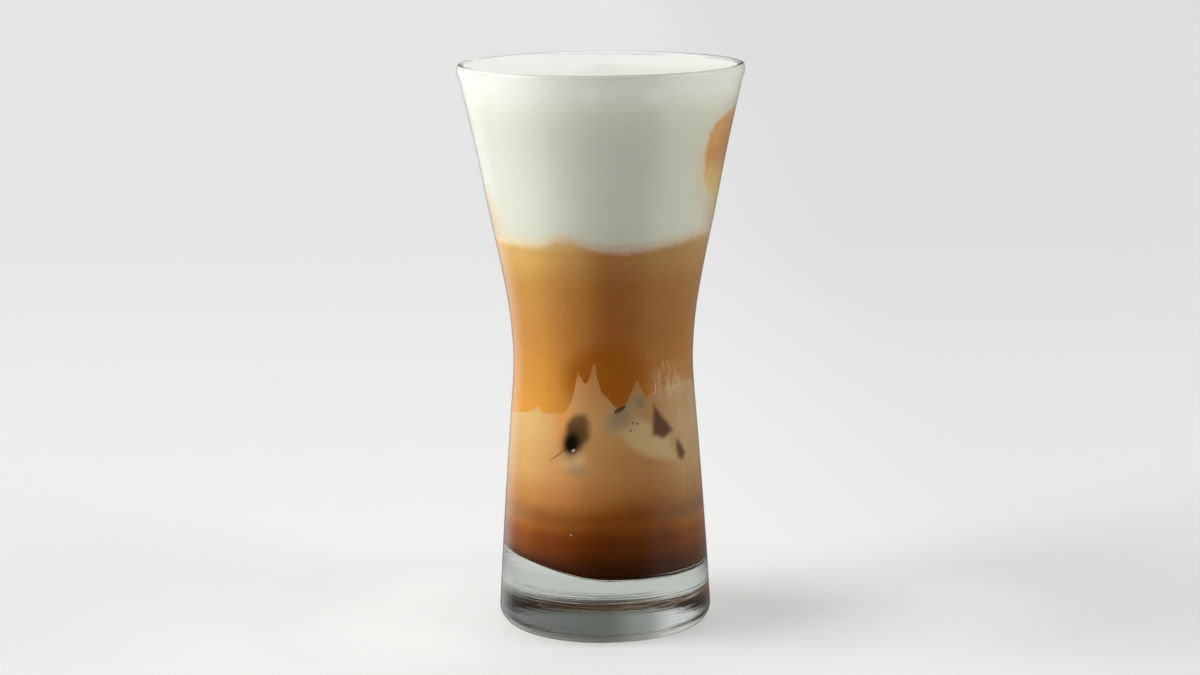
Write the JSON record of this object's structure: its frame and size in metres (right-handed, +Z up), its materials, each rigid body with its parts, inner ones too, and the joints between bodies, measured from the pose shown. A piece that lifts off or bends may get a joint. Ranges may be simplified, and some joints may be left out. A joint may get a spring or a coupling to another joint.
{
  "type": "freddo cappuccino",
  "caption": "Iced layered coffee under a deep cap of cold milk foam, in a clear waisted tumbler with a thick base.",
  "frame": {"origin": "centre of the underside of the glass, on the surface it stands on", "axes": "+Z up along the axis of the glass, -Y towards the viewer of the picture, +X to that viewer's right"},
  "size_m": [0.0792, 0.0792, 0.1575],
  "materials": {
    "clear_glass": "clear, polished",
    "dark_coffee": "liquid, glossy",
    "milky_coffee": "liquid, opaque",
    "golden_coffee": "liquid, opaque",
    "milk_foam": "fine matt foam"
  },
  "bodies": {
    "root": {"tumbler": "clear_glass", "dark_pool": "dark_coffee", "milky_layer": "milky_coffee", "golden_coffee": "golden_coffee", "milk_foam": "milk_foam"}
  },
  "joints": []
}
